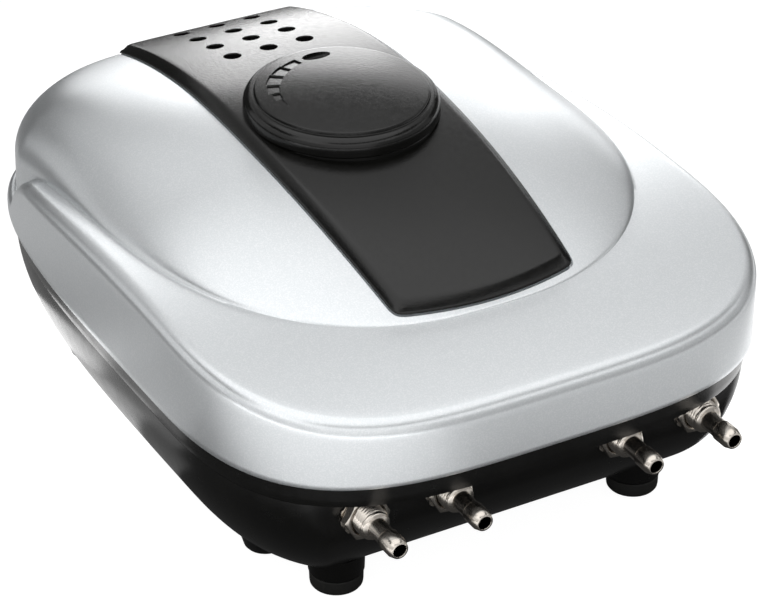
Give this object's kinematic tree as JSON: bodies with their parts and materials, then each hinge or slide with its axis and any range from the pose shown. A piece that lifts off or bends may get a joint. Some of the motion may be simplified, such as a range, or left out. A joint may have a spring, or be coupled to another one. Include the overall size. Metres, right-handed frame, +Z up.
{
  "type": "aquarium air pump",
  "caption": "Free-standing diaphragm air pump with a domed two-part case, a flow dial on a vented trim strip, front hose barbs and rubber feet.",
  "frame": {"origin": "centre of the footprint, on the plane the feet stand on", "axes": "+Z up; -Y is the front, where the hose barbs point; +X is to the right seen from the front"},
  "size_m": [0.18, 0.2368, 0.1083],
  "materials": {
    "silver_paint": "satin metallic silver paint on moulded plastic",
    "grained_black": "fine moulded grain",
    "dial_black": "fine grain on top, smooth rim",
    "base_black": "soft sheen",
    "black_rubber": "matt",
    "screw_steel": "plain",
    "nickel": "nickel plate, bright edges",
    "core_steel": "stacked laminations",
    "white_plastic": "plain",
    "copper_wire": "enamelled winding wire",
    "ferrite": "sintered",
    "hose_silicone": "smooth, translucent",
    "filter_foam": "dark open-cell filter mat",
    "board_green": "solder mask",
    "pot_black": "moulded"
  },
  "bodies": {
    "housing": {"top_cover": "silver_paint", "trim_strip": "grained_black", "base_housing": "base_black", "cord_gland": "black_rubber", "foot_front_left": "black_rubber", "foot_front_right": "black_rubber", "foot_rear_left": "black_rubber", "foot_rear_right": "black_rubber", "chassis_damper_front_left": "black_rubber", "chassis_damper_front_right": "black_rubber", "chassis_damper_rear_left": "black_rubber", "chassis_damper_rear_right": "black_rubber", "case_screw_front_left": "screw_steel", "case_screw_front_right": "screw_steel", "case_screw_rear_left": "screw_steel", "case_screw_rear_right": "screw_steel", "chassis": "screw_steel", "pivot_pin_left": "screw_steel", "pivot_pin_right": "screw_steel", "outlet_barb_1": "nickel", "outlet_barb_2": "nickel", "outlet_barb_3": "nickel", "outlet_barb_4": "nickel", "hex_nut_1": "nickel", "hex_nut_2": "nickel", "hex_nut_3": "nickel", "hex_nut_4": "nickel", "lock_washer_1": "nickel", "lock_washer_2": "nickel", "lock_washer_3": "nickel", "lock_washer_4": "nickel", "laminated_core": "core_steel", "coil_bobbin": "white_plastic", "pump_chamber_left": "white_plastic", "pump_chamber_right": "white_plastic", "valve_cover_left": "white_plastic", "valve_cover_right": "white_plastic", "coil_winding": "copper_wire", "air_hose_1": "hose_silicone", "air_hose_2": "hose_silicone", "air_hose_3": "hose_silicone", "air_hose_4": "hose_silicone", "vent_filter": "filter_foam", "circuit_board": "board_green", "potentiometer": "pot_black"},
    "dial": {"flow_dial": "dial_black", "dial_shaft": "nickel"},
    "left_arm": {"swing_arm_left": "screw_steel", "drive_magnet_left": "ferrite", "diaphragm_left": "black_rubber"},
    "left_outlet_valve": {"outlet_flap_left": "black_rubber"},
    "left_intake_valve": {"intake_flap_left": "black_rubber"},
    "right_arm": {"swing_arm_right": "screw_steel", "drive_magnet_right": "ferrite", "diaphragm_right": "black_rubber"},
    "right_outlet_valve": {"outlet_flap_right": "black_rubber"},
    "right_intake_valve": {"intake_flap_right": "black_rubber"}
  },
  "joints": [
    {"name": "dial_turn", "type": "hinge", "parent": "housing", "child": "dial", "pos_m": [0, 0.014, 0.101], "axis": [0, -0.0523, 0.9986], "range_deg": [-135, 135]},
    {"name": "left_arm_swing", "type": "hinge", "parent": "housing", "child": "left_arm", "pos_m": [-0.0295, 0.066, 0.038], "axis": [0, 0, 1], "range_deg": [-1.2, 1.2], "stiffness_Nm_per_rad": 0.6},
    {"name": "left_outlet_flap_open", "type": "hinge", "parent": "housing", "child": "left_outlet_valve", "pos_m": [-0.0548, 0.012, 0.044], "axis": [0, 1, 0], "range_deg": [0, 12], "stiffness_Nm_per_rad": 0.0005},
    {"name": "left_intake_flap_open", "type": "hinge", "parent": "housing", "child": "left_intake_valve", "pos_m": [-0.0472, 0.032, 0.044], "axis": [0, -1, 0], "range_deg": [0, 8], "stiffness_Nm_per_rad": 0.0005},
    {"name": "right_arm_swing", "type": "hinge", "parent": "housing", "child": "right_arm", "pos_m": [0.0295, 0.066, 0.038], "axis": [0, 0, 1], "range_deg": [-1.2, 1.2], "stiffness_Nm_per_rad": 0.6},
    {"name": "right_outlet_flap_open", "type": "hinge", "parent": "housing", "child": "right_outlet_valve", "pos_m": [0.0548, 0.012, 0.044], "axis": [0, -1, 0], "range_deg": [0, 12], "stiffness_Nm_per_rad": 0.0005},
    {"name": "right_intake_flap_open", "type": "hinge", "parent": "housing", "child": "right_intake_valve", "pos_m": [0.0472, 0.032, 0.044], "axis": [0, 1, 0], "range_deg": [0, 8], "stiffness_Nm_per_rad": 0.0005}
  ],
  "couplings": [
    {"joint": "left_arm_swing", "follows": "right_arm_swing", "ratio": -1}
  ]
}
